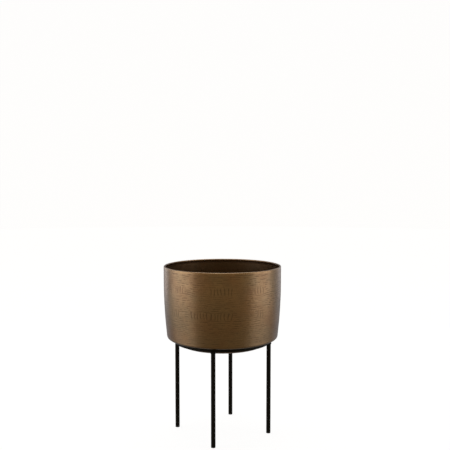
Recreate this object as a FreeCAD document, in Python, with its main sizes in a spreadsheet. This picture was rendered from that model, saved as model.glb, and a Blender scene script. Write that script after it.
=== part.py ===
import FreeCAD, Part
import math
import os
import Sketcher
from FreeCAD import Placement, Rotation, Vector

# A round brass planter pot that rests loosely in the hoop of a black four-legged steel stand.
# Millimetres. +Z is up, Z = 0 is the floor, and the Z axis is the common axis of pot and stand.
# The front leg stands on -Y, the right leg on +X.

DIMENSIONS = [
    # the pot: one piece of spun sheet, its rim curled inwards round a wire
    ("rimRadius", 150.0, "outer radius at the rim"),
    ("potHeight", 185.0, "from the underside that rests on the hoop up to the top of the rim"),
    ("sheetGauge", 1.0, "thickness of the spun sheet"),
    ("uprightBand", 40.0, "the wall is upright for this much below the rim"),
    ("wallArc", 1200.0, "radius of the wall's gentle inward curve below the upright band"),
    ("baseCorner", 7.3, "outer radius of the corner between wall and underside"),
    ("footRadius", 113.6, "outer radius of the foot that drops into the hoop"),
    ("footDepth", 18.6, "depth of the foot below the underside"),
    ("footCorner", 13.3, "outer radius of the foot's rounded edge"),
    ("footFillet", 2.5, "radius between the underside and the foot"),
    ("wireBar", 2.4, "diameter of the wire inside the rim"),
    ("wireClearance", 0.1, "gap between the wire and the curl round it"),
    ("curlAngle", 290.0, "how far the sheet curls round the wire, in degrees"),
    # the stand: a hoop of round bar on four tubes of the same diameter
    ("standHeight", 245.0, "from the floor to the top of the hoop"),
    ("seatGap", 0.3, "running gap between the hoop and the pot resting on it"),
    ("hoopRadius", 120.0, "radius of the hoop's centre line, which the legs stand under"),
    ("barDiameter", 11.0, "diameter of the hoop's bar and of the legs"),
    ("tubeWall", 1.0, "wall thickness of a leg"),
    ("hoopWeldWidth", 3.0, "width of the weld that closes the hoop"),
    ("hoopWeldProud", 0.1, "how far that weld, ground back, stands above the bar"),
    ("weldRoot", 0.6, "thickness of weld metal between a leg's end and the hoop"),
    ("weldToe", 3.0, "how far a leg's weld runs down the leg"),
    ("weldRise", 2.6, "how far a leg's weld climbs the sides of the hoop"),
    ("weldRound", 3.7, "radius of a leg weld's bulging face"),
    # the push-in glide that ends each leg
    ("glideHead", 2.0, "thickness of the head, as wide as the leg"),
    ("glideEdge", 0.7, "rounding of the head's lower edge"),
    ("glideStem", 7.4, "diameter of the stem inside the leg"),
    ("glideStemLength", 14.0, "length of the stem"),
    ("glideRibHeight", 1.4, "height of one gripping rib"),
    ("glideFirstRib", 2.0, "from the head up to the first gripping rib"),
    ("glideRibPlay", 0.05, "gap between a rib and the inside of the leg"),
    ("glideRibSpan", 9.0, "distance from the first gripping rib to the last"),
]
GLIDE_RIBS = 3
HOOP_WELD_ANGLE = 135.0
LEG_ANGLES = {"right": 0.0, "back": 90.0, "left": 180.0, "front": 270.0}

doc = FreeCAD.newDocument("planter")
sheet = doc.addObject("Spreadsheet::Sheet", "sheet")
for row, (alias, value, note) in enumerate(DIMENSIONS, start=1):
    sheet.set(f"A{row}", alias)
    sheet.set(f"B{row}", str(value))
    sheet.setAlias(f"B{row}", alias)
    sheet.set(f"C{row}", note)
doc.recompute()

# Levels and radii that several pieces share, as expressions on the sheet.
UNDERSIDE = "(sheet.standHeight + sheet.seatGap)"
FOOT_LEVEL = f"({UNDERSIDE} - sheet.footDepth)"
CURL_RADIUS = "(sheet.sheetGauge + sheet.wireClearance + sheet.wireBar / 2)"
RIM_LEVEL = f"({UNDERSIDE} + sheet.potHeight)"
CURL_LEVEL = f"({RIM_LEVEL} - {CURL_RADIUS})"
CURL_CENTRE = f"(sheet.rimRadius - {CURL_RADIUS})"
BAR_RADIUS = "(sheet.barDiameter / 2)"
HOOP_LEVEL = f"(sheet.standHeight - {BAR_RADIUS})"
HOOP_BOTTOM = "(sheet.standHeight - sheet.barDiameter)"
LEG_TOP = f"({HOOP_BOTTOM} - sheet.weldRoot)"
LEG_BORE = f"({BAR_RADIUS} - sheet.tubeWall)"
LEG_SIDE = f"(sheet.hoopRadius + {BAR_RADIUS})"
WELD_TOE = f"({LEG_TOP} - sheet.weldToe)"
WELD_CREST = f"({HOOP_BOTTOM} + sheet.weldRise)"
WELD_CREST_SIDE = f"({LEG_SIDE} - sheet.tubeWall / 2)"
HOOP_GAP_ANGLE = "(sheet.hoopWeldWidth / sheet.hoopRadius * 180 / pi)"

START, END, CENTRE = 1, 2, 3
ORIGIN, HORIZONTAL_AXIS, VERTICAL_AXIS = -1, -1, -2


def number(expression):
    """The value of an expression on the sheet."""
    value = sheet.evalExpression(expression)
    return float(getattr(value, "Value", value))


def new_body(label, angle=0.0):
    """A body of its own for one piece, turned about the common axis."""
    body = doc.addObject("PartDesign::Body", label)
    body.Label = label
    body.Placement = Placement(Vector(0, 0, 0), Rotation(Vector(0, 0, 1), angle))
    return body


def origin_feature(body, role):
    return next(f for f in body.Origin.OriginFeatures if f.Role == role)


def new_sketch(body, name, plane, level=None):
    """A sketch on one of the body's origin planes, raised to a level where one is given."""
    sketch = body.newObject("Sketcher::SketchObject", name)
    sketch.AttachmentSupport = [(origin_feature(body, plane), "")]
    sketch.MapMode = "FlatFace"
    if level:
        sketch.setExpression("AttachmentOffset.Base.z", level)
    return sketch


def constrain(sketch, kind, *elements):
    sketch.addConstraint(Sketcher.Constraint(kind, *elements))


def dimension(sketch, name, kind, elements, expression):
    """A named dimension that follows the sheet."""
    constraint = Sketcher.Constraint(kind, *elements, number(expression))
    sketch.renameConstraint(sketch.addConstraint(constraint), name)
    sketch.setExpression(f"Constraints.{name}", expression)


def point(x, z):
    return Vector(x, z, 0)


def line(sketch, start, end, construction=False):
    return sketch.addGeometry(Part.LineSegment(start, end), construction)


def arc(sketch, centre, radius, first_degrees, last_degrees):
    circle = Part.Circle(centre, Vector(0, 0, 1), radius)
    first = math.radians(first_degrees)
    last = math.radians(last_degrees)
    return sketch.addGeometry(Part.ArcOfCircle(circle, first, last))


def arc_between(sketch, start, end, radius):
    """An arc that runs counterclockwise from start to end and bulges to the right of that way."""
    chord = end - start
    to_centre = Vector(-chord.y, chord.x, 0).normalize()
    height = math.sqrt(radius**2 - (chord.Length / 2) ** 2)
    centre = (start + end) * 0.5 + to_centre * height
    first = math.degrees(math.atan2(start.y - centre.y, start.x - centre.x))
    last = math.degrees(math.atan2(end.y - centre.y, end.x - centre.x))
    return arc(sketch, centre, radius, first, last)


def add_circle(sketch, name, x, y, radius):
    """A circle whose centre and radius follow the sheet. y may be None for one on the X axis."""
    centre = point(number(x), number(y) if y else 0.0)
    circle = sketch.addGeometry(Part.Circle(centre, Vector(0, 0, 1), number(radius)))
    dimension(sketch, f"{name}X", "DistanceX", (ORIGIN, START, circle, CENTRE), x)
    if y:
        dimension(sketch, f"{name}Y", "DistanceY", (ORIGIN, START, circle, CENTRE), y)
    else:
        constrain(sketch, "PointOnObject", circle, CENTRE, HORIZONTAL_AXIS)
    dimension(sketch, f"{name}Radius", "Radius", (circle,), radius)
    return circle


def pad(body, name, sketch, length):
    feature = body.newObject("PartDesign::Pad", name)
    feature.Profile = sketch
    feature.setExpression("Length", length)
    return feature


def revolve(body, name, sketch, axis="V_Axis", angle=None, kind="Revolution"):
    """Turns a sketch about its own vertical axis or a construction line, fully or by an angle."""
    feature = body.newObject(f"PartDesign::{kind}", name)
    feature.Profile = sketch
    feature.ReferenceAxis = (sketch, [axis])
    feature.Angle = 360.0
    if angle:
        feature.Midplane = True
        feature.setExpression("Angle", angle)
    return feature


def pot_outline(sketch):
    """The pot's outer outline from the axis round foot, underside and wall, up to the curl."""
    rim = number("sheet.rimRadius")
    foot = number("sheet.footRadius")
    foot_corner = number("sheet.footCorner")
    fillet = number("sheet.footFillet")
    corner = number("sheet.baseCorner")
    wall = number("sheet.wallArc")
    underside = number(UNDERSIDE)
    bottom = number(FOOT_LEVEL)
    top = number(CURL_LEVEL)
    bend = number(RIM_LEVEL) - number("sheet.uprightBand")
    lean = math.asin((bend - underside - corner) / (wall - corner))
    lean_degrees = math.degrees(lean)
    corner_x = rim - wall + (wall - corner) * math.cos(lean)
    wall_foot = point(rim - wall + wall * math.cos(lean), bend - wall * math.sin(lean))

    axis = line(sketch, point(0, top), point(0, bottom))
    floor = line(sketch, point(0, bottom), point(foot - foot_corner, bottom))
    foot_edge = arc(sketch, point(foot - foot_corner, bottom + foot_corner), foot_corner, -90, 0)
    foot_wall = line(sketch, point(foot, bottom + foot_corner), point(foot, underside - fillet))
    shoulder = arc(sketch, point(foot + fillet, underside - fillet), fillet, 90, 180)
    ledge = line(sketch, point(foot + fillet, underside), point(corner_x, underside))
    base_edge = arc(sketch, point(corner_x, underside + corner), corner, -90, -lean_degrees)
    side = arc(sketch, point(rim - wall, bend), wall, -lean_degrees, 0)
    band = line(sketch, point(rim, bend), point(rim, top))
    lid = line(sketch, point(rim, top), point(0, top))

    constrain(sketch, "PointOnObject", axis, START, VERTICAL_AXIS)
    for element in (axis, foot_wall, band):
        constrain(sketch, "Vertical", element)
    for element in (floor, ledge, lid):
        constrain(sketch, "Horizontal", element)
    for first, second in ((axis, floor), (band, lid), (lid, axis)):
        constrain(sketch, "Coincident", first, END, second, START)
    constrain(sketch, "Tangent", floor, END, foot_edge, START)
    constrain(sketch, "Tangent", foot_edge, END, foot_wall, START)
    constrain(sketch, "Tangent", foot_wall, END, shoulder, END)
    constrain(sketch, "Tangent", shoulder, START, ledge, START)
    constrain(sketch, "Tangent", ledge, END, base_edge, START)
    constrain(sketch, "Tangent", base_edge, END, side, START)
    constrain(sketch, "Tangent", side, END, band, START)
    dimension(sketch, "footLevel", "DistanceY", (ORIGIN, START, floor, START), FOOT_LEVEL)
    dimension(sketch, "underside", "DistanceY", (ORIGIN, START, ledge, START), UNDERSIDE)
    dimension(sketch, "curlLevel", "DistanceY", (ORIGIN, START, lid, START), CURL_LEVEL)
    bend_level = f"{RIM_LEVEL} - sheet.uprightBand"
    dimension(sketch, "bendLevel", "DistanceY", (ORIGIN, START, band, START), bend_level)
    dimension(sketch, "rim", "DistanceX", (ORIGIN, START, band, START), "sheet.rimRadius")
    dimension(sketch, "foot", "DistanceX", (ORIGIN, START, foot_wall, START), "sheet.footRadius")
    dimension(sketch, "footCorner", "Radius", (foot_edge,), "sheet.footCorner")
    dimension(sketch, "footFillet", "Radius", (shoulder,), "sheet.footFillet")
    dimension(sketch, "baseCorner", "Radius", (base_edge,), "sheet.baseCorner")
    dimension(sketch, "wallArc", "Radius", (side,), "sheet.wallArc")


def curl_section(sketch):
    """The curled edge: a ring of sheet round the wire, open where it meets the wall."""
    centre = point(number(CURL_CENTRE), number(CURL_LEVEL))
    outer_radius = number(CURL_RADIUS)
    inner_radius = outer_radius - number("sheet.sheetGauge")
    degrees = number("sheet.curlAngle")
    tip = Vector(math.cos(math.radians(degrees)), math.sin(math.radians(degrees)), 0)
    right = Vector(1, 0, 0)

    outer = arc(sketch, centre, outer_radius, 0, degrees)
    inner = arc(sketch, centre, inner_radius, 0, degrees)
    root = line(sketch, centre + right * inner_radius, centre + right * outer_radius)
    lip = line(sketch, centre + tip * inner_radius, centre + tip * outer_radius)
    constrain(sketch, "Coincident", inner, CENTRE, outer, CENTRE)
    constrain(sketch, "Coincident", root, START, inner, START)
    constrain(sketch, "Coincident", root, END, outer, START)
    constrain(sketch, "Coincident", lip, START, inner, END)
    constrain(sketch, "Coincident", lip, END, outer, END)
    constrain(sketch, "Horizontal", root)
    constrain(sketch, "PointOnObject", outer, CENTRE, lip)
    dimension(sketch, "centreX", "DistanceX", (ORIGIN, START, outer, CENTRE), CURL_CENTRE)
    dimension(sketch, "centreY", "DistanceY", (ORIGIN, START, outer, CENTRE), CURL_LEVEL)
    dimension(sketch, "rootY", "DistanceY", (ORIGIN, START, root, END), CURL_LEVEL)
    dimension(sketch, "outerRadius", "Radius", (outer,), CURL_RADIUS)
    inner_size = "sheet.wireClearance + sheet.wireBar / 2"
    dimension(sketch, "innerRadius", "Radius", (inner,), inner_size)
    tip_x = f"{CURL_CENTRE} + {CURL_RADIUS} * cos(sheet.curlAngle * 1 deg)"
    dimension(sketch, "tipX", "DistanceX", (ORIGIN, START, outer, END), tip_x)


def make_pot_shell():
    body = new_body("pot_shell")
    outline = new_sketch(body, "pot_outline", "XZ_Plane")
    pot_outline(outline)
    solid = revolve(body, "pot_spin", outline)
    doc.recompute()

    top = number(CURL_LEVEL)
    lid = next(
        index
        for index, face in enumerate(solid.Shape.Faces, start=1)
        if abs(face.BoundBox.ZMin - top) < 1e-6
    )
    hollow = body.newObject("PartDesign::Thickness", "pot_hollow")
    hollow.Base = (solid, [f"Face{lid}"])
    hollow.Reversed = True
    hollow.setExpression("Value", "sheet.sheetGauge")
    doc.recompute()

    section = new_sketch(body, "rim_curl_section", "XZ_Plane")
    curl_section(section)
    curl = revolve(body, "rim_curl", section)
    body.Tip = curl
    return body


def make_rim_wire():
    wire = doc.addObject("Part::Torus", "rim_wire")
    wire.Label = "rim_wire"
    wire.setExpression("Radius1", CURL_CENTRE)
    wire.setExpression("Radius2", "sheet.wireBar / 2")
    wire.setExpression("Placement.Base.z", CURL_LEVEL)
    return wire


def make_hoop():
    """The bar rolled into a hoop, its ends a weld's width apart."""
    body = new_body("stand_hoop", HOOP_WELD_ANGLE + 180.0)
    section = new_sketch(body, "hoop_section", "XZ_Plane")
    add_circle(section, "bar", "sheet.hoopRadius", HOOP_LEVEL, BAR_RADIUS)
    body.Tip = revolve(body, "hoop_bend", section, angle=f"360 - {HOOP_GAP_ANGLE}")
    return body


def make_hoop_weld():
    body = new_body("hoop_weld", HOOP_WELD_ANGLE)
    section = new_sketch(body, "hoop_weld_section", "XZ_Plane")
    bead_radius = f"{BAR_RADIUS} + sheet.hoopWeldProud"
    add_circle(section, "bead", "sheet.hoopRadius", HOOP_LEVEL, bead_radius)
    body.Tip = revolve(body, "hoop_weld_bead", section, angle=HOOP_GAP_ANGLE)
    return body


def make_leg(side, angle):
    """A tube that stands on its glide and stops a weld's thickness below the hoop."""
    body = new_body(f"leg_{side}", angle)
    section = new_sketch(body, f"leg_{side}_section", "XY_Plane", "sheet.glideHead")
    add_circle(section, "outside", "sheet.hoopRadius", None, BAR_RADIUS)
    add_circle(section, "bore", "sheet.hoopRadius", None, LEG_BORE)
    body.Tip = pad(body, f"leg_{side}_tube", section, f"{LEG_TOP} - sheet.glideHead")
    return body


def weld_section(sketch):
    """Half of the bead: it bulges outside, sits on the leg's end and reaches into the hoop."""
    leg_axis = number("sheet.hoopRadius")
    leg_side = number(LEG_SIDE)
    crest_side = number(WELD_CREST_SIDE)
    leg_top = number(LEG_TOP)
    toe = number(WELD_TOE)
    crest = number(WELD_CREST)

    axis = line(sketch, point(leg_axis, 0), point(leg_axis, toe), construction=True)
    face = arc_between(
        sketch, point(leg_side, toe), point(crest_side, crest), number("sheet.weldRound")
    )
    top = line(sketch, point(crest_side, crest), point(leg_axis, crest))
    middle = line(sketch, point(leg_axis, crest), point(leg_axis, leg_top))
    seat = line(sketch, point(leg_axis, leg_top), point(leg_side, leg_top))
    skirt = line(sketch, point(leg_side, leg_top), point(leg_side, toe))

    for element in (axis, middle, skirt):
        constrain(sketch, "Vertical", element)
    for element in (top, seat):
        constrain(sketch, "Horizontal", element)
    for first, second in ((face, top), (top, middle), (middle, seat), (seat, skirt), (skirt, face)):
        constrain(sketch, "Coincident", first, END, second, START)
    constrain(sketch, "PointOnObject", axis, START, HORIZONTAL_AXIS)
    constrain(sketch, "PointOnObject", axis, END, middle)
    dimension(sketch, "axisLength", "DistanceY", (axis, START, axis, END), WELD_TOE)
    dimension(sketch, "legAxis", "DistanceX", (ORIGIN, START, middle, END), "sheet.hoopRadius")
    dimension(sketch, "legSide", "DistanceX", (ORIGIN, START, seat, END), LEG_SIDE)
    dimension(sketch, "crestSide", "DistanceX", (ORIGIN, START, top, START), WELD_CREST_SIDE)
    dimension(sketch, "legTop", "DistanceY", (ORIGIN, START, middle, END), LEG_TOP)
    dimension(sketch, "crest", "DistanceY", (ORIGIN, START, top, START), WELD_CREST)
    dimension(sketch, "toe", "DistanceY", (ORIGIN, START, skirt, END), WELD_TOE)
    dimension(sketch, "round", "Radius", (face,), "sheet.weldRound")


def make_leg_weld(side, angle):
    """The bead that joins a leg's end to the underside of the hoop."""
    body = new_body(f"leg_weld_{side}", angle)
    section = new_sketch(body, f"leg_weld_{side}_section", "XZ_Plane")
    weld_section(section)
    bead = revolve(body, f"leg_weld_{side}_bead", section, axis="Axis0")
    doc.recompute()

    bar = new_sketch(body, f"leg_weld_{side}_hoop", "XZ_Plane")
    add_circle(bar, "bar", "sheet.hoopRadius", HOOP_LEVEL, BAR_RADIUS)
    saddle = revolve(body, f"leg_weld_{side}_saddle", bar, kind="Groove")
    doc.recompute()
    if saddle.Shape.Volume > bead.Shape.Volume - 1.0:
        raise RuntimeError(f"{body.Label}: the hoop is not cut out of the bead")
    body.Tip = saddle
    return body


def make_leg_glide(side, angle):
    """A plastic glide: a head as wide as the leg, and a ribbed stem that grips inside it."""
    body = new_body(f"leg_glide_{side}", angle)
    name = f"leg_glide_{side}"
    head_circle = new_sketch(body, f"{name}_head_section", "XY_Plane")
    add_circle(head_circle, "head", "sheet.hoopRadius", None, BAR_RADIUS)
    head = pad(body, f"{name}_head", head_circle, "sheet.glideHead")
    doc.recompute()

    lower_edge = next(
        index
        for index, edge in enumerate(head.Shape.Edges, start=1)
        if edge.BoundBox.ZMax < 1e-6
    )
    rounding = body.newObject("PartDesign::Fillet", f"{name}_edge")
    rounding.Base = (head, [f"Edge{lower_edge}"])
    rounding.setExpression("Radius", "sheet.glideEdge")
    doc.recompute()

    stem_circle = new_sketch(body, f"{name}_stem_section", "XY_Plane", "sheet.glideHead")
    add_circle(stem_circle, "stem", "sheet.hoopRadius", None, "sheet.glideStem / 2")
    pad(body, f"{name}_stem", stem_circle, "sheet.glideStemLength")
    rib_level = "sheet.glideHead + sheet.glideFirstRib"
    rib_circle = new_sketch(body, f"{name}_rib_section", "XY_Plane", rib_level)
    add_circle(rib_circle, "rib", "sheet.hoopRadius", None, f"{LEG_BORE} - sheet.glideRibPlay")
    rib = pad(body, f"{name}_rib", rib_circle, "sheet.glideRibHeight")
    doc.recompute()

    ribs = body.newObject("PartDesign::LinearPattern", f"{name}_ribs")
    ribs.Originals = [rib]
    ribs.Direction = (origin_feature(body, "Z_Axis"), [""])
    ribs.setExpression("Length", "sheet.glideRibSpan")
    ribs.Occurrences = GLIDE_RIBS
    body.Tip = ribs
    return body


def check(pieces):
    """Stops unless every object is sound and every piece is one valid solid."""
    for item in doc.Objects:
        if {"Invalid", "Error"} & set(item.State):
            raise RuntimeError(f"{item.Name} failed: {item.State}")
    for piece in pieces:
        shape = piece.Shape
        if shape.isNull() or not shape.isValid() or len(shape.Solids) != 1:
            raise RuntimeError(f"{piece.Label} is not one valid solid")


pieces = [make_pot_shell(), make_rim_wire(), make_hoop(), make_hoop_weld()]
for side, angle in LEG_ANGLES.items():
    pieces += [make_leg(side, angle), make_leg_weld(side, angle), make_leg_glide(side, angle)]
doc.recompute()
check(pieces)

os.makedirs("parts", exist_ok=True)
for piece in pieces:
    piece.Shape.exportStep(f"parts/{piece.Label}.step")
    box = piece.Shape.BoundBox
    print(
        f"{piece.Label:18} volume {piece.Shape.Volume / 1000:8.3f} cm3,"
        f" Z {box.ZMin:7.2f} to {box.ZMax:7.2f}, width {box.XLength:7.2f}"
    )
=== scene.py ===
from math import asin, atan2, cos, degrees, hypot, pi, radians, sin, sqrt, tan, tau

import bpy
from mathutils import Euler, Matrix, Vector, noise


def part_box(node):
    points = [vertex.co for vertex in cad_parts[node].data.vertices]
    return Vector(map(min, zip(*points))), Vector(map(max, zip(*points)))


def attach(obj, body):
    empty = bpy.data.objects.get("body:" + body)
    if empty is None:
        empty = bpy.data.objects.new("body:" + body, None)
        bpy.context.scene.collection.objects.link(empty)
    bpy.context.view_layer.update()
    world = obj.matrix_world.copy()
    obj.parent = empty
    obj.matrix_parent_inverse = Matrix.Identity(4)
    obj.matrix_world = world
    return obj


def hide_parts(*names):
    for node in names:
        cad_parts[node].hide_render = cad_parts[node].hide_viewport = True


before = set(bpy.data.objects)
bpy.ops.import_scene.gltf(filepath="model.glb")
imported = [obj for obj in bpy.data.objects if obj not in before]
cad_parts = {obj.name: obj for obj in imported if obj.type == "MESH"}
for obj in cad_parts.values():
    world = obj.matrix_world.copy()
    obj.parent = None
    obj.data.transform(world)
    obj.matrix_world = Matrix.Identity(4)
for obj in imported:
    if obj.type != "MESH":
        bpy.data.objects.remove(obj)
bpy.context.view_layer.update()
scene = bpy.context.scene
mm = 0.001  # one millimetre in metres
patternRadius = 150.0  # mm; patterns that run round the pot are laid out at this radius


def toLinear(hexColour):
    # sRGB hex, as a colour picker gives it, to the linear values that shaders take
    channels = [int(hexColour[i:i + 2], 16) / 255 for i in (0, 2, 4)]
    return [c / 12.92 if c <= 0.04045 else ((c + 0.055) / 1.055) ** 2.4 for c in channels] + [1.0]


def smoothBetween(value, low, high):
    # 0 below low, 1 above high, and an even curve in between
    t = min(1.0, max(0.0, (value - low) / (high - low)))
    return t * t * (3 - 2 * t)


def wallSpot(angle, height):
    # a place on the pot's wall, in millimetres, to read noise at
    return Vector((patternRadius * cos(angle), patternRadius * sin(angle), height))


def cadBox(node):
    # the box of a CAD node, in millimetres
    low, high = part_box(node)
    return low / mm, high / mm


def arcPoints(centre, radius, startAngle, endAngle, steps):
    # points of an arc in the radius-height plane, both ends included
    points = []
    for i in range(steps + 1):
        angle = radians(startAngle + (endAngle - startAngle) * i / steps)
        points.append((centre[0] + radius * cos(angle), centre[1] + radius * sin(angle)))
    return points


def linePoints(start, end, spacing):
    # points from start to end, no further apart than spacing, without the two ends
    count = int(hypot(end[0] - start[0], end[1] - start[1]) / spacing) + 1
    return [tuple(a + (b - a) * i / count for a, b in zip(start, end)) for i in range(1, count)]


def softCorners(corners, beside=0.15, steps=5):
    # An outline through corners of (radius, height, rounding). A point close beside each
    # rounding keeps the flats next to it flat to the eye.
    points = []
    for i, (x, z, rounding) in enumerate(corners):
        corner = Vector((x, z))
        if rounding == 0:
            points.append((x, z))
            continue
        back = (Vector(corners[i - 1][:2]) - corner).normalized()
        ahead = (Vector(corners[(i + 1) % len(corners)][:2]) - corner).normalized()
        half = back.angle(ahead) / 2
        reach = rounding / tan(half)
        centre = corner + (back + ahead).normalized() * rounding / sin(half)
        start = corner + back * reach - centre
        turn = start.angle_signed(corner + ahead * reach - centre)
        first = degrees(atan2(start.y, start.x))
        points.append(tuple(corner + back * (reach + beside)))
        points += arcPoints(centre, rounding, first, first - degrees(turn), steps)
        points.append(tuple(corner + ahead * (reach + beside)))
    return points


def addPiece(name, verts, faces):
    # a smooth mesh, from points in millimetres
    mesh = bpy.data.meshes.new(name)
    mesh.from_pydata([(x * mm, y * mm, z * mm) for x, y, z in verts], [], faces)
    mesh.polygons.foreach_set("use_smooth", [True] * len(faces))
    piece = bpy.data.objects.new(name, mesh)
    scene.collection.objects.link(piece)
    return piece


def lathe(name, outline, segments, axis=(0.0, 0.0), shape=None, closed=False):
    # Turns an outline of (radius, height) in millimetres about an upright axis. An open
    # outline starts and ends on the axis, where a row of points becomes one; a closed one is
    # a ring's section. Shape moves a point, by its step in the outline and its angle.
    verts = []
    rows = []
    for step, (radius, height) in enumerate(outline):
        row = []
        for i in range(1 if radius < 1e-6 else segments):
            angle = tau * i / segments
            r, z = (radius, height) if shape is None else shape(step, angle, radius, height)
            row.append(len(verts))
            verts.append((axis[0] + r * cos(angle), axis[1] + r * sin(angle), z))
        rows.append(row)
    faces = []
    for low, high in list(zip(rows, rows[1:])) + ([(rows[-1], rows[0])] if closed else []):
        for i in range(segments):
            j = (i + 1) % segments
            corners = [low[i % len(low)], low[j % len(low)],
                       high[j % len(high)], high[i % len(high)]]
            faces.append(list(dict.fromkeys(corners)))
    return addPiece(name, verts, faces)


def markPoints(piece, name, values):
    # a number for each point, which the material reads by this name
    piece.data.attributes.new(name, "FLOAT", "POINT").data.foreach_set("value", values)


def dress(piece, body, slotName, material, *nodes):
    piece.data.materials.append(material)
    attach(piece, body)
    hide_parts(*nodes)


def newMaterial(name):
    material = bpy.data.materials.new(name)
    material.use_nodes = True
    material.node_tree.nodes.clear()
    return material


def addNode(owner, kind, settings=None, **inputs):
    # Adds a node to a material or world. Settings are its own options. Inputs are its sockets,
    # by name without spaces, and each takes a value, a socket, or a node for its first output.
    node = owner.node_tree.nodes.new(kind)
    for key, value in (settings or {}).items():
        setattr(node, key, value)
    for key, value in inputs.items():
        enabled = [s for s in node.inputs if s.enabled]
        wanted = [s for s in enabled if s.identifier.replace(" ", "") == key]
        wanted = wanted or [s for s in enabled if s.name.replace(" ", "") == key]
        if isinstance(value, bpy.types.Node):
            value = next(s for s in value.outputs if s.enabled)
        if isinstance(value, bpy.types.NodeSocket):
            owner.node_tree.links.new(value, wanted[0])
        else:
            wanted[0].default_value = value
    return node


def placeInMm(material):
    # where on the piece a point is, in millimetres
    position = addNode(material, "ShaderNodeTexCoord").outputs["Object"]
    return addNode(material, "ShaderNodeVectorMath", {"operation": "SCALE"}, Vector=position,
                   Scale=1 / mm)


def between(edges):
    # for a map range: the two values of its input that it goes from and to
    return {"FromMin": edges[0], "FromMax": edges[1]}


def pointMark(material, name):
    # the number that markPoints gave each point under this name
    return addNode(material, "ShaderNodeAttribute", {"attribute_name": name}).outputs["Fac"]


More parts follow.
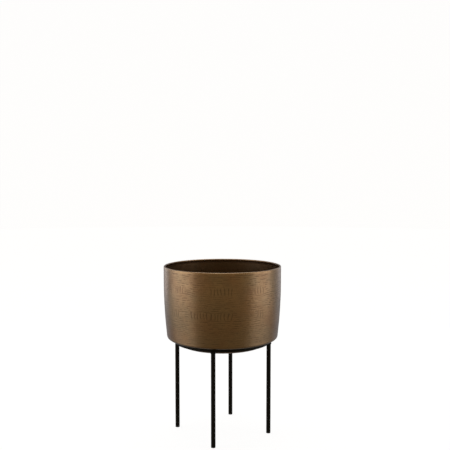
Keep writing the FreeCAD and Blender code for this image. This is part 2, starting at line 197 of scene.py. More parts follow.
def antiquedSpunBrass():
    # Brass sheet, spun on a lathe, chased by hand with short marks, darkened with liver of
    # sulphur, rubbed back and lacquered. The eye gets a soft brown metal with level grain that
    # is dark in the marks, and paler where rim and corner are rubbed.
    look = {
        "rubbed": "c9a880",  # brass where the brown is rubbed thin
        "patina": "9a8265",  # the brown that covers most of the wall
        "warmPatina": "9d7c5d",  # where the brown turned redder
        "dark": "3a2819",  # patina left in the marks, and inside the pot a darker patina with painted shade
        "insideDark": 0.35,  # how much darker the inside is coloured: partly a darker patina, partly painted shade inside the pot
        "thickRoughness": 0.36,  # thick patina scatters the light
        "rubbedRoughness": 0.23,  # rubbed metal shines
        "rubbedAt": 0.8,  # how thin the brown has to be to shine like that
        "markRoughness": 0.16,  # what the patina left in a mark adds
        "anisotropy": 0.35,
        "lacquer": 0.7,  # how much of the surface shows the lacquer's own shine
        "lacquerRoughness": 0.3,
        "cloudSize": 45.0,  # mm across a patch of browner or paler patina
        "cloudTone": (0.04, 0.30),  # how thin that leaves the brown, at least and at most
        "hueSize": 70.0,  # mm across a patch of redder patina
        "hueEdge": (0.4, 0.6),  # noise values from plain to redder
        "mottleSize": 2.6,  # mm; the real mottle runs down to 0.3 mm, too fine to show
        "mottleTone": (-0.17, 0.20),
        "mottleRelief": 0.6,  # how high the mottle stands, where the lathe lines stand 1
        "spinSpacing": 0.9,  # mm; real lathe lines are 0.2 mm apart, too fine to show
        "spinLength": 60.0,
        "spinTone": (-0.13, 0.13),
        "noiseSpan": (0.3, 0.7),  # where nearly all of a noise's values lie
        "markDepth": 0.05,  # mm that the marks' edges add to their shape in the mesh
        "grainDepth": 0.03,
    }
    material = newMaterial("antiquedSpunBrass")
    place = placeInMm(material)
    split = addNode(material, "ShaderNodeSeparateXYZ", Vector=place)

    # the chased marks: level ones in wandering lines, and upright ones in columns
    lineTurn = addNode(material, "ShaderNodeMath", {"operation": "MULTIPLY"},
                       Value=pointMark(material, "lines"), Value_001=tau)
    lineWave = addNode(material, "ShaderNodeMath", {"operation": "COSINE"}, Value=lineTurn)
    lineMark = addNode(material, "ShaderNodeMapRange", {"interpolation_type": "SMOOTHSTEP"},
                       Value=lineWave, FromMin=chasing["markEdge"], FromMax=1.0)
    level = addNode(material, "ShaderNodeMath", {"operation": "MULTIPLY"}, Value=lineMark,
                    Value_001=pointMark(material, "struck"))
    angle = addNode(material, "ShaderNodeMath", {"operation": "ARCTAN2"},
                    Value=split.outputs["Y"], Value_001=split.outputs["X"])
    columns = addNode(material, "ShaderNodeMath", {"operation": "MULTIPLY_ADD"}, Value=angle,
                      Value_001=float(chasing["columns"]), Value_002=pointMark(material, "sway"))
    columnWave = addNode(material, "ShaderNodeMath", {"operation": "COSINE"}, Value=columns)
    columnMark = addNode(material, "ShaderNodeMapRange", {"interpolation_type": "SMOOTHSTEP"},
                         Value=columnWave, FromMin=chasing["markEdge"], FromMax=1.0)
    stroke = addNode(material, "ShaderNodeMath", {"operation": "MULTIPLY"}, Value=columnMark,
                     Value_001=pointMark(material, "upright"))
    chased = addNode(material, "ShaderNodeMath", {"operation": "MAXIMUM"}, Value=level,
                     Value_001=stroke)

    # lathe lines run round the pot, so they follow the distance along its outline
    flat = addNode(material, "ShaderNodeVectorMath", {"operation": "MULTIPLY"}, Vector=place,
                   Vector_001=(1, 1, 0))
    outward = addNode(material, "ShaderNodeVectorMath", {"operation": "NORMALIZE"}, Vector=flat)
    roundPot = addNode(material, "ShaderNodeVectorMath", {"operation": "SCALE"}, Vector=outward,
                       Scale=patternRadius / look["spinLength"])
    ridge = addNode(material, "ShaderNodeMath", {"operation": "DIVIDE"},
                    Value=pointMark(material, "along"), Value_001=look["spinSpacing"])
    ridgeUp = addNode(material, "ShaderNodeCombineXYZ", Z=ridge)
    spinPlace = addNode(material, "ShaderNodeVectorMath", {"operation": "ADD"}, Vector=roundPot,
                        Vector_001=ridgeUp)
    spin = addNode(material, "ShaderNodeTexNoise", Vector=spinPlace, Scale=1.0, Detail=1.0)

    cloud = addNode(material, "ShaderNodeTexNoise", Vector=place, Scale=1 / look["cloudSize"],
                    Detail=3.0)
    hue = addNode(material, "ShaderNodeTexNoise", Vector=place, Scale=1 / look["hueSize"],
                  Detail=2.0)
    mottle = addNode(material, "ShaderNodeTexNoise", Vector=place, Scale=1 / look["mottleSize"],
                     Detail=4.0, Roughness=0.6)

    # how thin the brown is, from 0 to 1
    tones = []
    for pattern, name in ((cloud, "cloudTone"), (mottle, "mottleTone"), (spin, "spinTone")):
        least, most = look[name]
        tones.append(addNode(material, "ShaderNodeMapRange", Value=pattern,
                             **between(look["noiseSpan"]), ToMin=least, ToMax=most))
    cloudTone, mottleTone, spinTone = tones
    fine = addNode(material, "ShaderNodeMath", {"operation": "ADD"}, Value=mottleTone,
                   Value_001=spinTone)
    tone = addNode(material, "ShaderNodeMath", {"operation": "ADD"}, Value=cloudTone,
                   Value_001=fine)
    thin = addNode(material, "ShaderNodeMath", {"operation": "ADD", "use_clamp": True},
                   Value=tone, Value_001=pointMark(material, "wear"))
    redder = addNode(material, "ShaderNodeMapRange", Value=hue, **between(look["hueEdge"]))
    brown = addNode(material, "ShaderNodeMix", {"data_type": "RGBA"}, Factor_Float=redder,
                    A_Color=toLinear(look["patina"]), B_Color=toLinear(look["warmPatina"]))
    metal = addNode(material, "ShaderNodeMix", {"data_type": "RGBA"}, Factor_Float=thin,
                    A_Color=brown, B_Color=toLinear(look["rubbed"]))
    inMarks = addNode(material, "ShaderNodeMath", {"operation": "MULTIPLY"}, Value=chased,
                      Value_001=chasing["darkness"])
    # the inside is coloured darker: a darker patina, and painted shade standing in for the shade
    # inside the pot
    insideShadeAndPatina = addNode(material, "ShaderNodeMath", {"operation": "MULTIPLY"},
                      Value=pointMark(material, "inside"), Value_001=look["insideDark"])
    darkest = addNode(material, "ShaderNodeMath", {"operation": "MAXIMUM"}, Value=inMarks,
                      Value_001=insideShadeAndPatina)
    colour = addNode(material, "ShaderNodeMix", {"data_type": "RGBA"}, Factor_Float=darkest,
                     A_Color=metal, B_Color=toLinear(look["dark"]))

    baseRough = addNode(material, "ShaderNodeMapRange", Value=thin, FromMax=look["rubbedAt"],
                        ToMin=look["thickRoughness"], ToMax=look["rubbedRoughness"])
    roughness = addNode(material, "ShaderNodeMath", {"operation": "MULTIPLY_ADD"}, Value=darkest,
                        Value_001=look["markRoughness"], Value_002=baseRough)

    grain = addNode(material, "ShaderNodeMath", {"operation": "MULTIPLY_ADD"}, Value=mottle,
                    Value_001=look["mottleRelief"], Value_002=spin)
    grainBump = addNode(material, "ShaderNodeBump", Height=grain,
                        Distance=look["grainDepth"] * mm)
    depth = addNode(material, "ShaderNodeMath", {"operation": "MULTIPLY"}, Value=chased,
                    Value_001=-1.0)
    bump = addNode(material, "ShaderNodeBump", Height=depth, Distance=look["markDepth"] * mm,
                   Normal=grainBump)
    tangent = addNode(material, "ShaderNodeTangent", {"direction_type": "RADIAL", "axis": "Z"})
    shader = addNode(material, "ShaderNodeBsdfPrincipled", BaseColor=colour, Metallic=1.0,
                     Roughness=roughness, Normal=bump, Tangent=tangent,
                     Anisotropic=look["anisotropy"], CoatWeight=look["lacquer"],
                     CoatRoughness=look["lacquerRoughness"], CoatIOR=1.5)
    addNode(material, "ShaderNodeOutputMaterial", Surface=shader)
    return material


def blackPowderCoat():
    # Steel sprayed with polyester powder and baked. The eye gets a dead black with a fine,
    # even orange peel that breaks up the light along a bar, and a paler track where the
    # pot has rubbed it.
    look = {
        "coat": "060606",
        "thinCoat": "0c0c0d",
        "rubbed": "383531",  # the coat burnished by the pot's underside
        "roughness": (0.54, 0.66),  # at least and at most
        "rubbedRoughness": 0.36,
        "peelSize": 0.9,  # mm between the bumps of the orange peel
        "peelDepth": 0.03,
        "filmSize": 25.0,  # mm across a patch of thicker or thinner coat
        "filmEdge": (0.4, 0.7),  # noise values from a full coat to a thin one
        "mattSpan": (0.3, 0.7),  # and from the least rough to the roughest
        "scuffSize": 3.5,
        "scuffEdge": (0.35, 0.6),
        "specular": 0.25,  # a matting wax in the powder takes off half of the shine
    }
    material = newMaterial("blackPowderCoat")
    place = placeInMm(material)
    peel = addNode(material, "ShaderNodeTexNoise", Vector=place, Scale=1 / look["peelSize"],
                   Detail=2.0)
    film = addNode(material, "ShaderNodeTexNoise", Vector=place, Scale=1 / look["filmSize"],
                   Detail=3.0)
    thin = addNode(material, "ShaderNodeMapRange", Value=film, **between(look["filmEdge"]))
    black = addNode(material, "ShaderNodeMix", {"data_type": "RGBA"}, Factor_Float=thin,
                    A_Color=toLinear(look["coat"]), B_Color=toLinear(look["thinCoat"]))
    scuff = addNode(material, "ShaderNodeTexNoise", Vector=place, Scale=1 / look["scuffSize"],
                    Detail=3.0)
    scuffed = addNode(material, "ShaderNodeMapRange", Value=scuff, **between(look["scuffEdge"]))
    worn = addNode(material, "ShaderNodeMath", {"operation": "MULTIPLY"},
                   Value=pointMark(material, "rub"), Value_001=scuffed)
    colour = addNode(material, "ShaderNodeMix", {"data_type": "RGBA"}, Factor_Float=worn,
                     A_Color=black, B_Color=toLinear(look["rubbed"]))
    least, most = look["roughness"]
    matt = addNode(material, "ShaderNodeMapRange", Value=film, **between(look["mattSpan"]),
                   ToMin=least, ToMax=most)
    roughness = addNode(material, "ShaderNodeMix", {"data_type": "FLOAT"}, Factor_Float=worn,
                        A_Float=matt, B_Float=look["rubbedRoughness"])
    bump = addNode(material, "ShaderNodeBump", Height=peel, Distance=look["peelDepth"] * mm)
    shader = addNode(material, "ShaderNodeBsdfPrincipled", BaseColor=colour, Roughness=roughness,
                     Normal=bump, IOR=1.5, SpecularIORLevel=look["specular"])
    addNode(material, "ShaderNodeOutputMaterial", Surface=shader)
    return material


def drawnSteelWire():
    # Low-carbon steel wire, pulled through a die. The eye gets a grey bright metal with
    # drawing lines along it.
    look = {
        "steel": "a7a5a1",
        "drawn": "7f7c78",  # in the drawing lines
        "steelRoughness": 0.32,
        "drawnRoughness": 0.44,
        "lineSpacing": 0.35,  # mm; real drawing lines are 0.05 mm apart, too fine to show
        "lineLength": 40.0,
        "lineDepth": 0.02,
        "lineEdge": (0.35, 0.65),  # noise values from in a drawing line to between them
    }
    material = newMaterial("drawnSteelWire")
    place = placeInMm(material)
    split = addNode(material, "ShaderNodeSeparateXYZ", Vector=place)
    flat = addNode(material, "ShaderNodeVectorMath", {"operation": "MULTIPLY"}, Vector=place,
                   Vector_001=(1, 1, 0))
    out = addNode(material, "ShaderNodeVectorMath", {"operation": "LENGTH"},
                  Vector=flat).outputs["Value"]
    way = addNode(material, "ShaderNodeVectorMath", {"operation": "NORMALIZE"}, Vector=flat)
    bend = addNode(material, "ShaderNodeVectorMath", {"operation": "SCALE"}, Vector=way,
                   Scale=patternRadius / look["lineLength"])
    outLines = addNode(material, "ShaderNodeMath", {"operation": "DIVIDE"}, Value=out,
                       Value_001=look["lineSpacing"])
    upLines = addNode(material, "ShaderNodeMath", {"operation": "DIVIDE"},
                      Value=split.outputs["Z"], Value_001=look["lineSpacing"])
    across = addNode(material, "ShaderNodeMath", {"operation": "ADD"}, Value=outLines,
                     Value_001=upLines)
    linePlace = addNode(material, "ShaderNodeCombineXYZ", Z=across)
    along = addNode(material, "ShaderNodeVectorMath", {"operation": "ADD"}, Vector=bend,
                    Vector_001=linePlace)
    lines = addNode(material, "ShaderNodeTexNoise", Vector=along, Scale=1.0, Detail=2.0)
    bright = addNode(material, "ShaderNodeMapRange", Value=lines, **between(look["lineEdge"]))
    colour = addNode(material, "ShaderNodeMix", {"data_type": "RGBA"}, Factor_Float=bright,
                     A_Color=toLinear(look["drawn"]), B_Color=toLinear(look["steel"]))
    roughness = addNode(material, "ShaderNodeMapRange", Value=bright,
                        ToMin=look["drawnRoughness"], ToMax=look["steelRoughness"])
    bump = addNode(material, "ShaderNodeBump", Height=lines, Distance=look["lineDepth"] * mm)
    shader = addNode(material, "ShaderNodeBsdfPrincipled", BaseColor=colour, Metallic=1.0,
                     Roughness=roughness, Normal=bump)
    addNode(material, "ShaderNodeOutputMaterial", Surface=shader)
    return material


def mouldedPolyethylene():
    # Black high-density polyethylene, injection moulded in a spark-eroded mould. The eye gets
    # a slightly waxy black with a fine even texture, and greyer scuffs on the underside.
    look = {
        "black": "101011",
        "scuffed": "3d3c3a",
        "roughness": 0.48,
        "scuffRoughness": 0.3,  # what a scuff adds
        "textureSize": 0.25,  # mm; a real spark-eroded texture is 0.05 mm, too fine to show
        "textureDepth": 0.02,
        "scuffSize": 1.4,
        "scuffEdge": (0.4, 0.62),
        "scuffHeight": 0.8,  # mm above the floor where the scuffs end
    }
    material = newMaterial("mouldedPolyethylene")
    place = placeInMm(material)
    grit = addNode(material, "ShaderNodeTexNoise", Vector=place, Scale=1 / look["textureSize"],
                   Detail=2.0)
    scuff = addNode(material, "ShaderNodeTexNoise", Vector=place, Scale=1 / look["scuffSize"],
                    Detail=4.0)
    above = addNode(material, "ShaderNodeSeparateXYZ", Vector=place).outputs["Z"]
    low = addNode(material, "ShaderNodeMapRange", Value=above, FromMax=look["scuffHeight"],
                  ToMin=1.0, ToMax=0.0)
    rough = addNode(material, "ShaderNodeMapRange", Value=scuff, **between(look["scuffEdge"]))
    worn = addNode(material, "ShaderNodeMath", {"operation": "MULTIPLY"}, Value=low,
                   Value_001=rough)
    colour = addNode(material, "ShaderNodeMix", {"data_type": "RGBA"}, Factor_Float=worn,
                     A_Color=toLinear(look["black"]), B_Color=toLinear(look["scuffed"]))
    roughness = addNode(material, "ShaderNodeMath", {"operation": "MULTIPLY_ADD"}, Value=worn,
                        Value_001=look["scuffRoughness"], Value_002=look["roughness"])
    bump = addNode(material, "ShaderNodeBump", Height=grit, Distance=look["textureDepth"] * mm)
    shader = addNode(material, "ShaderNodeBsdfPrincipled", BaseColor=colour, Roughness=roughness,
                     Normal=bump, IOR=1.54)
    addNode(material, "ShaderNodeOutputMaterial", Surface=shader)
    return material


chasing = {
    "lineSpacing": 5.0,  # mm between the lines of level marks
    "drift": 4.0,  # mm that a line wanders up or down
    "driftSize": 32.0,  # mm of wall over which it wanders so
    "runLength": 11.0,  # mm, about how long a run of marks goes on
    "runEdge": (-0.15, 0.1),  # noise below the first is a gap, above the second a full mark
    "lightest": 0.45,  # how hard the lightest stretches are struck, where the others are 1
    "stretchSize": 40.0,  # mm
    "stretchEdge": (-0.3, 0.2),  # noise values from the lightest to 1
    "startsAbove": (5, 12),  # mm above the seat over which the level marks begin
    "columns": 112,  # upright marks that would fit round the pot
    "sway": 3.0,  # how far the columns lean to and fro; a whole column is 6.3
    "swaySize": 17.0,  # mm
    # patches where the marks stand upright: mm above the seat, and from and to, in degrees
    # round the pot from +X
    "patches": [
        (139, -130, -115), (139, -92, -68), (139, -50, -36), (139, -8, 14), (139, 47, 72),
        (139, 118, 131), (139, 156, 187), (80, -138, -123), (80, -112, -68), (80, -46, -35),
        (80, -14, 9), (80, 36, 60), (80, 91, 127), (80, 168, 182), (80, 199, 212),
    ],
    "bandSpacing": 60.0,  # mm, about what the two bands of patches are apart
    "patchReach": 11.0,  # mm above and below
    "patchTaper": 0.5,  # share of that over which a mark tapers off
    "patchSlip": 3.5,  # mm that a column in a patch slips up or down
    "patchFade": 2.5,  # degrees over which the marks at its sides get lighter
    "markEdge": 0.1,  # where a mark begins, as a share of its wave
    "depth": 0.22,  # mm
    "darkness": 0.42,  # how much of the brown stays in a mark
}
brass = antiquedSpunBrass()
powderCoat = blackPowderCoat()
wireSteel = drawnSteelWire()
polyethylene = mouldedPolyethylene()
print("materials ready")


pot = {
    "sheet": 1.0,  # mm, and so are the others that say nothing else
    "uprightBand": 40.0,  # the wall is upright for this much below the rim
    "wallArc": 1200.0,  # radius at which it curves in below that
    "baseCorner": 7.3,  # radii of the corners
    "footCorner": 13.3,
    "footFillet": 2.5,
    "footWall": 113.6,  # the foot's own radius
    "curl": 2.3,  # outer radius of the rolled rim
    "curlTurn": 290.0,  # degrees
    "seatGap": 0.3,
    "segments": 432,
    "rowHeight": 1.35,
    "innerRowHeight": 12.0,  # the inside carries no marks
    "flats": 0.16,  # what trueing by hand leaves in the wall
    "flatSizes": ((15, 0.6), (38, 0.8)),  # mm across, and the share of each
    "flatsInset": 0.9,  # keeps the crests between the flats inside the true round
    "flatsAbove": 25.0,  # above the seat, where the flats reach their full depth
    "flatsFrom": 60.0,  # radius where they do so on the underside
    "rimWave": 0.35,
    "rimWaves": 1.3,  # higher makes more waves round the rim
    "rimReach": 30.0,  # the wave dies out this far below the rim
    "rimTrue": 0.7,  # how much shallower the curl leaves the flats at the rim
    "rimRubbed": 0.25,  # how thin the brown is rubbed at the rim
    "cornerRubbed": 0.22,  # and at the lower corner
    "cornerFrom": 120.0,  # radius outside which that counts as the corner
    "cornerAbove": 3.0,  # where the rubbing is strongest, above the seat
    "cornerFade": (1, 7),  # from there, up and down, over which it dies out
    "marksAbove": 4.0,  # above the seat, where the wall's marks can begin
    "rubSize": 9.0,
}


def seatLevel():
    # where the pot's underside is, just above the hoop
    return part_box("stand_hoop")[1].z / mm + pot["seatGap"]


def potOutline():
    low, high = cadBox("pot_shell")
    underside = seatLevel()
    rim, top, bottom = high.x, high.z, low.z
    bend = top - pot["uprightBand"]
    curlLevel = top - pot["curl"]
    wall = pot["wallArc"]

    def skin(inset, rowHeight, fineness):
        # from the axis out along the underside and up the wall, this far inside the outer face
        corner = pot["baseCorner"]
        lean = asin((bend - underside - corner) / (wall - corner))
        cornerX = rim - wall + (wall - corner) * cos(lean)
        foot = pot["footCorner"]
        footX = pot["footWall"] - foot
        points = [(0.0, bottom + inset)]
        points += linePoints((0, bottom + inset), (footX, bottom + inset), spacing=20)
        points += arcPoints((footX, bottom + foot), foot - inset, -90, 0, steps=6 * fineness)
        shoulder = (pot["footWall"] + pot["footFillet"], underside - pot["footFillet"])
        points += arcPoints(shoulder, pot["footFillet"] + inset, 180, 90, steps=4)
        points += linePoints(points[-1], (cornerX, underside + inset), spacing=10)
        points += arcPoints((cornerX, underside + corner), corner - inset, -90, -degrees(lean),
                            steps=5 * fineness)
        rows = int(lean * wall / rowHeight)
        points += arcPoints((rim - wall, bend), wall - inset, -degrees(lean), 0, rows)[1:]
        points += linePoints((rim - inset, bend), (rim - inset, curlLevel), rowHeight)
        return points

    curlCentre = (rim - pot["curl"], curlLevel)
    outer = skin(0.0, pot["rowHeight"], fineness=2)
    roll = arcPoints(curlCentre, pot["curl"], 0, pot["curlTurn"], steps=14)
    back = arcPoints(curlCentre, pot["curl"] - pot["sheet"], pot["curlTurn"], 0, steps=6)
    inner = skin(pot["sheet"], pot["innerRowHeight"], fineness=1)[::-1]
    return outer, roll, back, inner


def chasedMarks(angle, height, seat):
    # The marks at a point of the wall: the line it lies on, how hard its mark is struck, how far
    # the columns sway there and how hard they are struck, and the depth of the metal from 0 to 1.
    # The odd numbers in the noise keep the lines, the columns and the stretches apart in it.
    spot = wallSpot(angle, height)
    drift = chasing["drift"] * noise.noise(spot / chasing["driftSize"])
    lines = (height + drift) / chasing["lineSpacing"]
    run = chasing["runLength"]
    inRun = noise.noise(Vector((spot.x / run, spot.y / run, round(lines) * 7.3)))
    struck = smoothBetween(inRun, *chasing["runEdge"])
    above = height - seat
    sway = chasing["sway"] * noise.noise(spot / chasing["swaySize"])
    column = round((angle * chasing["columns"] + sway) / tau)
    band = round(above / chasing["bandSpacing"])
    slip = chasing["patchSlip"] * noise.noise(Vector((column * 1.7, 3.1, band)))
    upright = 0.0
    for level, start, end in chasing["patches"]:
        fromMiddle = (degrees(angle) - (start + end) / 2 + 180) % 360 - 180
        inReach = 1 - abs(above - level - slip) / chasing["patchReach"]
        fromSide = (end - start) / 2 - abs(fromMiddle)
        inPatch = smoothBetween(inReach, 0.0, chasing["patchTaper"])
        inPatch *= smoothBetween(fromSide, 0, chasing["patchFade"])
        upright = max(upright, inPatch)
    struck *= (1 - upright) * smoothBetween(above, *chasing["startsAbove"])
    stretch = noise.noise(spot / chasing["stretchSize"] + Vector((7, 3, 1)))
    lightest = chasing["lightest"]
    struck *= lightest + (1 - lightest) * smoothBetween(stretch, *chasing["stretchEdge"])
    edge = chasing["markEdge"]
    lineMark = smoothBetween(cos(tau * lines), edge, 1.0) * struck
    columnMark = smoothBetween(cos(angle * chasing["columns"] + sway), edge, 1.0) * upright
    return lines, struck, sway, upright, max(lineMark, columnMark)


def rimDrop(angle):
    # how far the rim waves down here, in millimetres
    waves = pot["rimWaves"]
    wave = noise.noise(Vector((cos(angle) * waves, sin(angle) * waves, 4.0)))
    return pot["rimWave"] * 0.5 * (1 - wave)


def buildPot():
    outer, roll, back, inner = potOutline()
    outline = outer + roll + back + inner
    top = max(z for _, z in outline)
    seat = seatLevel()
    curlFrom, curlTo = len(outer), len(outer) + len(roll)
    marks = {name: [] for name in ("lines", "struck", "sway", "upright", "wear", "inside", "along")}
    along = 0.0
    travelled = []
    for point, last in zip(outline, outline[:1] + outline):
        along += hypot(point[0] - last[0], point[1] - last[1])
        travelled.append(along)

    def shape(step, angle, radius, height):
        # A spun wall trued up by hand is never quite round: broad shallow flats, and a rim that
        # waves a little. Both faces of the sheet move together; the marks are in the outer one.
        spot = wallSpot(angle, height)
        onWall = smoothBetween(height, seat, seat + pot["flatsAbove"])
        onWall *= min(1.0, radius / pot["flatsFrom"])
        flats = sum(noise.noise(spot / size) * share for size, share in pot["flatSizes"])
        inward = pot["flats"] * (pot["flatsInset"] + flats) * onWall
        nearRim = max(0.0, 1 - (top - height) / pot["rimReach"])
        if step < curlFrom and height > seat + pot["marksAbove"]:
            lines, struck, sway, upright, mark = chasedMarks(angle, height, seat)
        else:
            lines, struck, sway, upright, mark = 0.5, 0.0, 0.0, 0.0, 0.0
        place = Vector((radius * cos(angle), radius * sin(angle), height))
        patchy = 0.5 + 0.5 * noise.noise(place / pot["rubSize"])
        rubbed = pot["rimRubbed"] if curlFrom - 2 <= step < curlTo else 0.0
        fromCorner = abs(height - seat - pot["cornerAbove"])
        atCorner = 1 - smoothBetween(fromCorner, *pot["cornerFade"])
        if radius > pot["cornerFrom"]:
            rubbed += pot["cornerRubbed"] * patchy * atCorner
        # the inside, which the material colours darker: a darker patina and painted shade
        isInside = float(step >= curlFrom + len(roll) // 2)
        here = (lines, struck, sway, upright, rubbed, isInside, travelled[step])
        for values, value in zip(marks.values(), here):
            values.append(value)
        inward = inward * (1 - pot["rimTrue"] * nearRim) + mark * chasing["depth"]
        return radius - inward, height - rimDrop(angle) * nearRim

    piece = lathe("potShell", outline, pot["segments"], shape=shape)
    for name, values in marks.items():
        markPoints(piece, name, values)
    dress(piece, "pot", "antique_brass", brass, "pot_shell")


wire = {
    "clearance": 0.02,  # mm that the wire stays inside its CAD size
    "sides": 28,
    "segments": 288,
}


def buildRimWire():
    low, high = cadBox("rim_wire")
    radius = (high.z - low.z) / 2
    centre = (high.x - radius, low.z + radius)

    def shape(step, angle, r, z):
        return r, z - rimDrop(angle)

    section = arcPoints(centre, radius - wire["clearance"], 0, 360, wire["sides"])[:-1]
    piece = lathe("rimWire", section, wire["segments"], shape=shape, closed=True)
    dress(piece, "pot", "rim_wire_steel", wireSteel, "rim_wire")


buildPot()
buildRimWire()
print("pot built")


stand = {
    "sides": ("right", "back", "left", "front"),
    "tubeWall": 1.0,  # mm
    "legSegments": 64,
    "cutEdge": 0.25,  # rounding that deburring leaves on a cut end
    "barSides": 40,
    "hoopSteps": 300,
    "hoopRub": (0.8, 2.2),  # mm either side of the hoop's top, where the rubbing fades out
    "rubSize": 18.0,  # mm
    "hoopWeldWidth": 3.0,
    "hoopWeldEdge": 0.12,
    "hoopWeldInset": 0.03,  # mm inside its CAD size
    "groundAway": 0.07,  # mm that the grinder took off it, at most
    "weldToe": 3.0,  # a leg's weld starts this far below the leg's end
    "weldRise": 2.6,  # and ends this far up the side of the hoop
    "weldRound": 3.7,
    "weldRipple": 0.22,  # mm between the crest and the dip of a ripple
    "ripplePitch": 1.9,  # mm round the bead from ripple to ripple
    "rippleBow": 1.6,  # how far a ripple bows along the bead, in radians of its wave
    "rippleStray": 1.2,  # and how far it strays
    "weldSteps": 14,  # over the bead's face
    "weldSegments": 144,
}
glide = {
    "head": 2.0,  # mm
    "edge": 0.7,
    "stem": 3.7,  # radius
    "rib": 4.45,  # radius over the ribs
    "ribLevels": (2.0, 6.5, 11.0),  # above the head
    "ribLead": 0.7,  # height of a rib's slope
    "ribHeight": 1.4,
    "gateDimple": 1.3,  # radius of the dimple where the plastic went in
    "gateDepth": 0.3,
    "segments": 48,
}


def ringSize():
    # the hoop's ring radius, bar radius and middle level
    low, high = cadBox("stand_hoop")
    bar = (high.z - low.z) / 2
    return high.x - bar, bar, low.z + bar


def hoopWeldTurn():
    # where round the hoop its own weld is, and half of how far it goes, in radians
    low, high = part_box("hoop_weld")
    ring, _, _ = ringSize()
    return atan2(low.y + high.y, low.x + high.x), stand["hoopWeldWidth"] / ring / 2


def bentBar(name, bar, start, end, steps, rounding, swell=None):
    # A round bar along the hoop's circle, from start to end in radians, with soft ends.
    # Swell adds to its radius: it takes the share of the way along and the section's angle.
    # The stations take each end's rounding through a quarter turn.
    ring, _, middle = ringSize()
    sides = stand["barSides"]
    stations = [(start + rounding * (1 - cos(t)) / ring, bar - rounding * (1 - sin(t)))
                for t in (radians(turned) for turned in range(0, 91, 18))]
    middleTurns = [start + (end - start) * i / steps for i in range(1, steps)]
    path = stations + [(turn, bar) for turn in middleTurns]
    path += [(start + end - turn, radius) for turn, radius in reversed(stations)]
    verts = []
    for turn, radius in path:
        share = (turn - start) / (end - start)
        for k in range(sides):
            lean = tau * k / sides
            r = radius + (swell(share, lean) if swell else 0.0)
            out = ring + r * cos(lean)
            verts.append((out * cos(turn), out * sin(turn), middle + r * sin(lean)))
    faces = []
    for i in range(len(path) - 1):
        for k in range(sides):
            j = (k + 1) % sides
            a, b = i * sides, (i + 1) * sides
            faces.append([a + k, b + k, b + j, a + j])
    for turn, at in ((start, 0), (end, (len(path) - 1) * sides)):
        centre = len(verts)
        verts.append((ring * cos(turn), ring * sin(turn), middle))
        for k in range(sides):
            corners = [at + k, at + (k + 1) % sides, centre]
            faces.append(corners if at == 0 else corners[::-1])
    return addPiece(name, verts, faces)


def buildHoop():
    ring, bar, middle = ringSize()
    weldAt, halfWeld = hoopWeldTurn()
    hoop = bentBar("standHoop", bar, weldAt + halfWeld, weldAt + tau - halfWeld,
                   stand["hoopSteps"], stand["cutEdge"])
    rub = []
    for point in hoop.data.vertices:
        x, y, z = point.co / mm
        fromTop = abs(hypot(x, y) - ring)
        unevenly = 0.75 + 0.5 * noise.noise(Vector((x, y, 0)) / stand["rubSize"])
        rub.append((z > middle) * unevenly * (1 - smoothBetween(fromTop, *stand["hoopRub"])))
    markPoints(hoop, "rub", rub)
    dress(hoop, "stand", "black_powder_coat", powderCoat, "stand_hoop")


def buildHoopWeld():
    # laid all the way round the joint, then ground back nearly level with the bar
    low, high = cadBox("hoop_weld")
    weldAt, halfWeld = hoopWeldTurn()
    proud = (high.z - low.z) / 2 - stand["hoopWeldInset"]

    def swell(share, lean):
        patch = noise.noise(Vector((share * 5, cos(lean) * 3, sin(lean) * 3)))
        ground = stand["groundAway"] * (0.5 + 0.5 * patch)
        return -ground * sin(pi * min(1.0, max(0.0, share)))

    weld = bentBar("hoopWeld", proud, weldAt - halfWeld, weldAt + halfWeld, steps=14,
                   rounding=stand["hoopWeldEdge"], swell=swell)
    dress(weld, "stand", "black_powder_coat", powderCoat, "hoop_weld")


def legPlace(node):
    # the lowest level, the highest level, the outer radius and the axis of a round upright piece
    low, high = cadBox(node)
    return low.z, high.z, (high.x - low.x) / 2, ((low.x + high.x) / 2, (low.y + high.y) / 2)


def buildLeg(side):
    low, high, outer, axis = legPlace(f"leg_{side}")
    bore = outer - stand["tubeWall"]
    edge = stand["cutEdge"]
    ends = softCorners([(outer, low, edge), (outer, high, edge), (bore, high, edge),
                        (bore, low, edge)])
    outline = []
    for point, following in zip(ends, ends[1:] + ends[:1]):
        outline += [point] + linePoints(point, following, spacing=12)
    leg = lathe(f"leg{side.title()}", outline, stand["legSegments"], axis, closed=True)
    dress(leg, "stand", "black_powder_coat", powderCoat, f"leg_{side}")


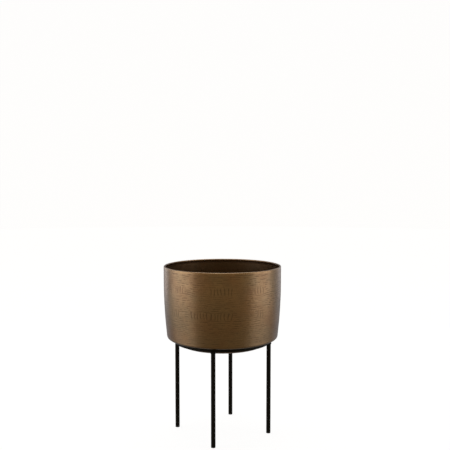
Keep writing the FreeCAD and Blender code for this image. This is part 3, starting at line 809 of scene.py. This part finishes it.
def buildLegWeld(side):
    # A bead of overlapping ripples all round the leg's end, its top run into the bar above.
    _, legTop, outer, axis = legPlace(f"leg_{side}")
    _, bar, middle = ringSize()
    toe = legTop - stand["weldToe"]
    crest = middle - bar + stand["weldRise"]
    start = Vector((outer, toe))
    end = Vector((outer - stand["tubeWall"] / 2, crest))
    chord = end - start
    out = Vector((chord.y, -chord.x)).normalized()
    sag = sqrt(stand["weldRound"] ** 2 - chord.length_squared / 4)
    centre = (start + end) / 2 - out * sag
    first = degrees(atan2(*reversed(start - centre)))
    last = degrees(atan2(*reversed(end - centre)))
    face = arcPoints(centre, stand["weldRound"], first, last, stand["weldSteps"])
    # the bead's bottom and top close out of sight, inside the leg and the bar
    under = [(0.0, toe + 1.2), (outer - 0.4, toe + 1.2), (outer - 0.35, toe - 0.02)]
    over = [(outer - 1.3, crest + 0.5), (0.0, crest + 0.5)]
    ripples = round(tau * outer / stand["ripplePitch"])

    def shape(step, angle, r, z):
        if not len(under) <= step < len(under) + len(face):
            return r, z
        across = (z - toe) / (crest - toe)
        uneven = noise.noise(Vector((axis[0] + 9 * cos(angle), axis[1] + 9 * sin(angle), z / 3)))
        bow = stand["rippleBow"] * sin(pi * across)
        wave = 0.5 + 0.5 * cos(angle * ripples + bow + stand["rippleStray"] * uneven)
        dip = stand["weldRipple"] * (wave ** 2 + 0.4 * abs(uneven)) * sin(pi * across)
        return r - dip, z

    outline = under + face + over
    weld = lathe(f"legWeld{side.title()}", outline, stand["weldSegments"], axis, shape)
    dress(weld, "stand", "black_powder_coat", powderCoat, f"leg_weld_{side}")


def buildGlide(side):
    low, high, outer, axis = legPlace(f"leg_glide_{side}")
    head = low + glide["head"]
    dimple = glide["gateDimple"]
    gate = low + glide["gateDepth"]
    stem, rib = glide["stem"], glide["rib"]
    # each corner's third number is its rounding
    corners = [(0.0, gate, 0), (dimple * 0.6, gate, 0), (dimple, low, 0.1),
               (outer, low, glide["edge"]), (outer, head, 0.15), (stem, head, 0.2)]
    for level in glide["ribLevels"]:
        bottom, crown = head + level, head + level + glide["ribHeight"]
        corners += [(stem, bottom, 0.1), (rib, bottom + glide["ribLead"], 0.1),
                    (rib, crown, 0.1), (stem, crown, 0.1)]
    corners += [(stem, high, 0.5), (0.0, high, 0)]
    outline = softCorners(corners, beside=0.06, steps=4)
    piece = lathe(f"legGlide{side.title()}", outline, glide["segments"], axis)
    dress(piece, "stand", "black_plastic", polyethylene, f"leg_glide_{side}")


buildHoop()
buildHoopWeld()
for side in stand["sides"]:
    buildLeg(side)
    buildLegWeld(side)
    buildGlide(side)
print("stand built")


camera = {
    "azimuth": 10.66,  # degrees round from -Y towards +X
    "distance": 1.716,  # m from the pot's axis, level
    "height": 0.643,  # m above the floor
    "pitch": 3.65,  # degrees down
    "turn": 0.225,  # degrees to the right of the pot's axis
    "lens": 53.9,  # mm
    "sensor": 36.0,  # mm wide
}
studio = {
    "paper": "fdfdfd",
    "glowNear": 0.95,  # the paper's own white round the pot, where the lamps add theirs
    "glowFar": 0.98,
    "glowChange": (0.3, 2.6),  # m from the pot, from the one to the other
    "shade": "6e6e6e",  # how much of the lamps' light the paper takes up
    "floorLevel": -0.2,  # mm, just clear of the glides
    "reach": 8.0,  # m, from the pot to where the floor meets the backdrop
    "air": 0.25,  # light from the dim warm room in front
    "airColour": "ffe1ac",
    "airBehind": 0.40,  # light off the backdrop
    "behindColour": "f0f4ff",
    "gapBehind": 0.5,  # how much of that is left straight behind, between the backdrop's lamps
    "airBelow": 0.5,  # how much of it comes up from the floor
    # where these go over into each other: cosines from straight behind, and sines of the height
    "behindEdge": (0.0, 0.8),
    "gapEdge": (0.85, 1.0),
    "belowEdge": (-0.5, -0.1),
    "segments": 96,
    "curveSteps": 24,
}
# Lamps, by name: degrees round the pot from the camera's direction, to the right if positive;
# distance, height, width and tall in metres; radiance, where 1 shows white in a mirror; and the
# height on the pot's axis that it faces.
lamps = {
    # the two big boxes beside the pot make its two bright bands
    "softboxLeft": (-81.5, 1.3, 1.0, 1.25, 1.8, 0.86, 1.0),
    "softboxRight": (79.5, 1.3, 1.0, 1.05, 1.8, 0.76, 1.0),
    # their light off the floor paper, which itself lights nothing here
    "floorBounceLeft": (-81.5, 1.3, -0.45, 1.25, 1.1, 0.36, -0.45),
    "floorBounceRight": (79.5, 1.3, -0.45, 1.05, 1.1, 0.34, -0.45),
    # narrow ones that draw the edges of the back
    "stripLeft": (-138, 1.5, 0.8, 0.35, 1.5, 0.7, 0.6),
    "stripRight": (142, 1.5, 0.8, 0.3, 1.5, 0.42, 0.6),
    # over the pot, a little behind it
    "overhead": (180, 0.5, 2.3, 1.4, 1.4, 1.6, 0.34),
}


def setCamera():
    data = bpy.data.cameras.new("camera")
    data.lens = camera["lens"]
    data.sensor_width = camera["sensor"]
    data.clip_start, data.clip_end = 0.01, 50
    holder = bpy.data.objects.new("camera", data)
    bearing = radians(-90 + camera["azimuth"])
    away = camera["distance"]
    holder.location = (away * cos(bearing), away * sin(bearing), camera["height"])
    heading = radians(camera["azimuth"] - camera["turn"])
    holder.rotation_euler = Euler((radians(90 - camera["pitch"]), 0, heading))
    scene.collection.objects.link(holder)
    scene.camera = holder


def studioPaper():
    # Matt white background paper, lit evenly from all round. The eye gets a pale floor with
    # soft shadows, which goes over into the backdrop without a line.
    material = newMaterial("studioPaper")
    place = addNode(material, "ShaderNodeTexCoord").outputs["Object"]
    away = addNode(material, "ShaderNodeVectorMath", {"operation": "LENGTH"}, Vector=place)
    glow = addNode(material, "ShaderNodeMapRange", {"interpolation_type": "SMOOTHSTEP"},
                   Value=away, **between(studio["glowChange"]), ToMin=studio["glowNear"],
                   ToMax=studio["glowFar"])
    paper = addNode(material, "ShaderNodeBsdfDiffuse", Color=toLinear(studio["shade"]))
    light = addNode(material, "ShaderNodeEmission", Color=toLinear(studio["paper"]),
                    Strength=glow)
    both = addNode(material, "ShaderNodeAddShader", Shader=paper, Shader_001=light)
    addNode(material, "ShaderNodeOutputMaterial", Surface=both)
    return material


def buildStage():
    reach = studio["reach"] / mm
    level = studio["floorLevel"]
    curve = arcPoints((0, level), reach, 0, 90, studio["curveSteps"])[:-1]
    floor = lathe("floor", [(0.0, level), (reach, level)], studio["segments"])
    backdrop = lathe("backdrop", curve + [(0.0, reach + level)], studio["segments"])
    paper = studioPaper()
    for sheet in (floor, backdrop):
        sheet.data.materials.append(paper)
        # the paper lights nothing but itself, so that the metal keeps its dark middle
        sheet.visible_glossy = False
        sheet.visible_diffuse = False
        sheet.visible_shadow = False


def setAir():
    # the light of the room: dim and warm in front, whiter off the backdrop, less from below
    world = bpy.data.worlds.new("studioAir")
    world.use_nodes = True
    world.node_tree.nodes.clear()
    direction = addNode(world, "ShaderNodeTexCoord").outputs["Generated"]
    behind = radians(90 + camera["azimuth"])
    facing = addNode(world, "ShaderNodeVectorMath", {"operation": "DOT_PRODUCT"},
                     Vector=direction, Vector_001=(cos(behind), sin(behind), 0))
    back = addNode(world, "ShaderNodeMapRange", {"interpolation_type": "SMOOTHSTEP"},
                   Value=facing, **between(studio["behindEdge"]))
    strength = addNode(world, "ShaderNodeMapRange", Value=back, ToMin=studio["air"],
                       ToMax=studio["airBehind"])
    height = addNode(world, "ShaderNodeSeparateXYZ", Vector=direction).outputs["Z"]
    upper = addNode(world, "ShaderNodeMapRange", Value=height, **between(studio["belowEdge"]),
                    ToMin=studio["airBelow"], ToMax=1.0)
    gap = addNode(world, "ShaderNodeMapRange", {"interpolation_type": "SMOOTHSTEP"},
                  Value=facing, **between(studio["gapEdge"]), ToMin=1.0,
                  ToMax=studio["gapBehind"])
    level = addNode(world, "ShaderNodeMath", {"operation": "MULTIPLY"}, Value=strength,
                    Value_001=upper)
    total = addNode(world, "ShaderNodeMath", {"operation": "MULTIPLY"}, Value=level,
                    Value_001=gap)
    colour = addNode(world, "ShaderNodeMix", {"data_type": "RGBA"}, Factor_Float=back,
                     A_Color=toLinear(studio["airColour"]),
                     B_Color=toLinear(studio["behindColour"]))
    air = addNode(world, "ShaderNodeBackground", Color=colour, Strength=total)
    addNode(world, "ShaderNodeOutputWorld", Surface=air)
    scene.world = world


def addLamp(name, fromCamera, distance, height, width, tall, radiance, aimAt):
    bearing = radians(-90 + camera["azimuth"] + fromCamera)
    lamp = bpy.data.lights.new(name, "AREA")
    lamp.shape = "RECTANGLE"
    lamp.size, lamp.size_y = width, tall
    lamp.energy = radiance * pi * width * tall
    holder = bpy.data.objects.new(name, lamp)
    spot = Vector((distance * cos(bearing), distance * sin(bearing), height))
    holder.location = spot
    holder.rotation_euler = (Vector((0, 0, aimAt)) - spot).to_track_quat("-Z", "Y").to_euler()
    holder.visible_camera = False
    scene.collection.objects.link(holder)


setCamera()
buildStage()
setAir()
for name, place in lamps.items():
    addLamp(name, *place)
scene.view_settings.view_transform = "Standard"
print("studio set")
